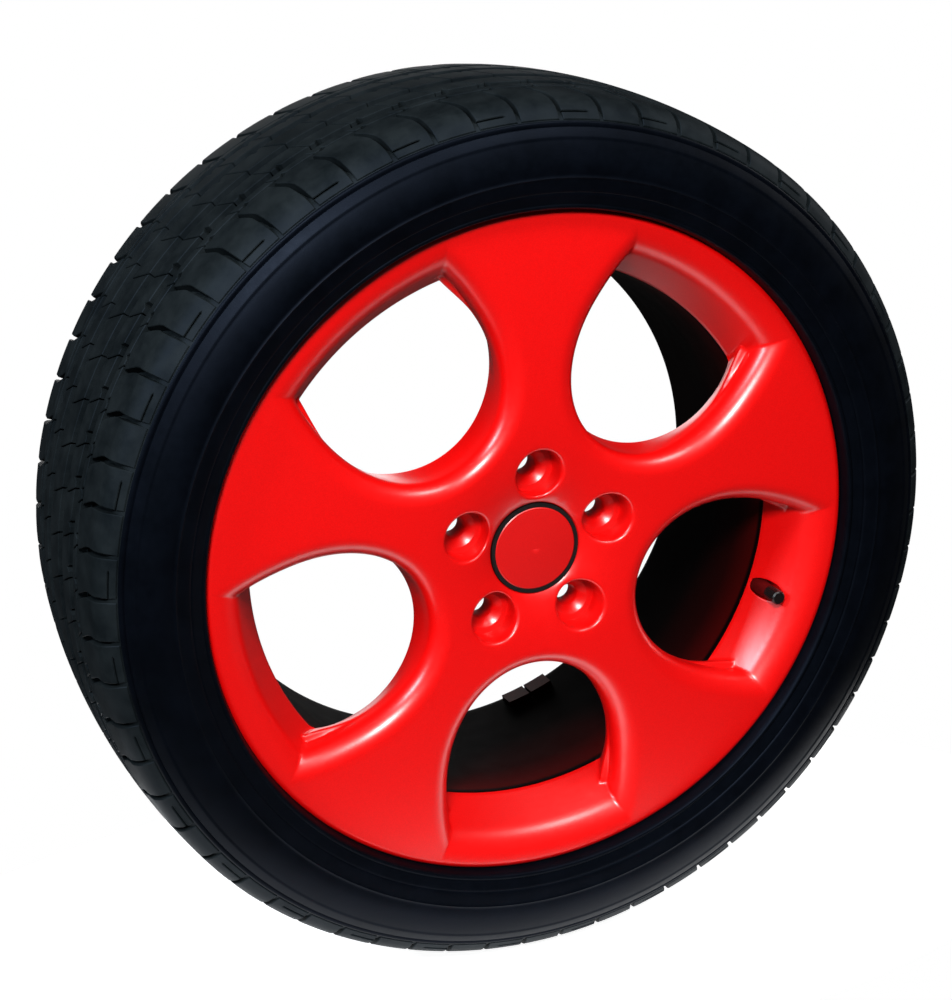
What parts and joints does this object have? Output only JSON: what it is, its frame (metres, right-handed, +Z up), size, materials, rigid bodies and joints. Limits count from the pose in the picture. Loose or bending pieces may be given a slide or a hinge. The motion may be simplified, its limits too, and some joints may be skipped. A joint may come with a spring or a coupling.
{
  "type": "road wheel with tyre",
  "caption": "Five-spoke cast road wheel in satin red with a low-profile road tyre, clip-in centre cap and snap-in valve.",
  "frame": {"origin": "centre of the wheel, midway between the rim flanges on the axle's line", "axes": "+Y along the axle towards the vehicle, -Y out of the visible face, +Z up"},
  "size_m": [0.6334, 0.2214, 0.6334],
  "materials": {
    "red_paint": "satin red paint over cast aluminium",
    "red_paint_cap": "satin red painted plastic",
    "black_plastic": "moulded, fine grain",
    "cap_plastic": "moulded, ribbed",
    "spring_steel": "drawn wire",
    "tread_rubber": "dull, new",
    "sidewall_rubber": "moulded, slightly glossy",
    "ply_cord": "textile cord in rubber",
    "belt_cord": "steel cord in rubber",
    "liner_rubber": "smooth",
    "bead_wire": "coated wire bundle",
    "filler_rubber": "hard rubber",
    "valve_rubber": "moulded",
    "brass": "turned",
    "weight_steel": "zinc coated steel",
    "tape_foam": "adhesive foam"
  },
  "bodies": {
    "wheel": {"wheel_casting": "red_paint", "tread": "tread_rubber", "sidewall_outboard": "sidewall_rubber", "sidewall_inboard": "sidewall_rubber", "chafer_outboard": "sidewall_rubber", "chafer_inboard": "sidewall_rubber", "cap_ply": "ply_cord", "carcass_ply": "ply_cord", "belt_outer": "belt_cord", "belt_inner": "belt_cord", "inner_liner": "liner_rubber", "bead_core_outboard": "bead_wire", "bead_core_inboard": "bead_wire", "bead_filler_outboard": "filler_rubber", "bead_filler_inboard": "filler_rubber", "valve_body": "valve_rubber", "valve_stem": "brass", "valve_core_housing": "brass", "valve_core_spring": "spring_steel", "balance_weights": "weight_steel", "balance_weight_tape": "tape_foam"},
    "centre_cap": {"centre_cap_body": "black_plastic", "centre_cap_disc": "red_paint_cap", "centre_cap_ring": "spring_steel"},
    "cap_slider": {"valve_cap_seal": "valve_rubber"},
    "cap": {"valve_cap": "cap_plastic"},
    "core_pin": {"valve_core_pin": "spring_steel"}
  },
  "joints": [
    {"name": "centre_cap_pull", "type": "slide", "parent": "wheel", "child": "centre_cap", "axis": [0, -1, 0], "range_m": [0, 0.03]},
    {"name": "valve_cap_slide", "type": "slide", "parent": "wheel", "child": "cap_slider", "axis": [0, -1, 0], "range_m": [0, 0.00794]},
    {"name": "valve_cap_unscrew", "type": "hinge", "parent": "cap_slider", "child": "cap", "pos_m": [0.19524, -0.083, -0.06571], "axis": [0, -1, 0], "range_deg": [0, 3600]},
    {"name": "valve_core_press", "type": "slide", "parent": "wheel", "child": "core_pin", "axis": [0, 1, 0], "range_m": [0, 0.0012], "stiffness_N_per_m": 1200, "springref_m": -0.0008, "deforming": ["valve_core_spring"]}
  ],
  "couplings": [
    {"joint": "valve_cap_unscrew", "follows": "valve_cap_slide", "rad_per_m": 7915.8}
  ]
}
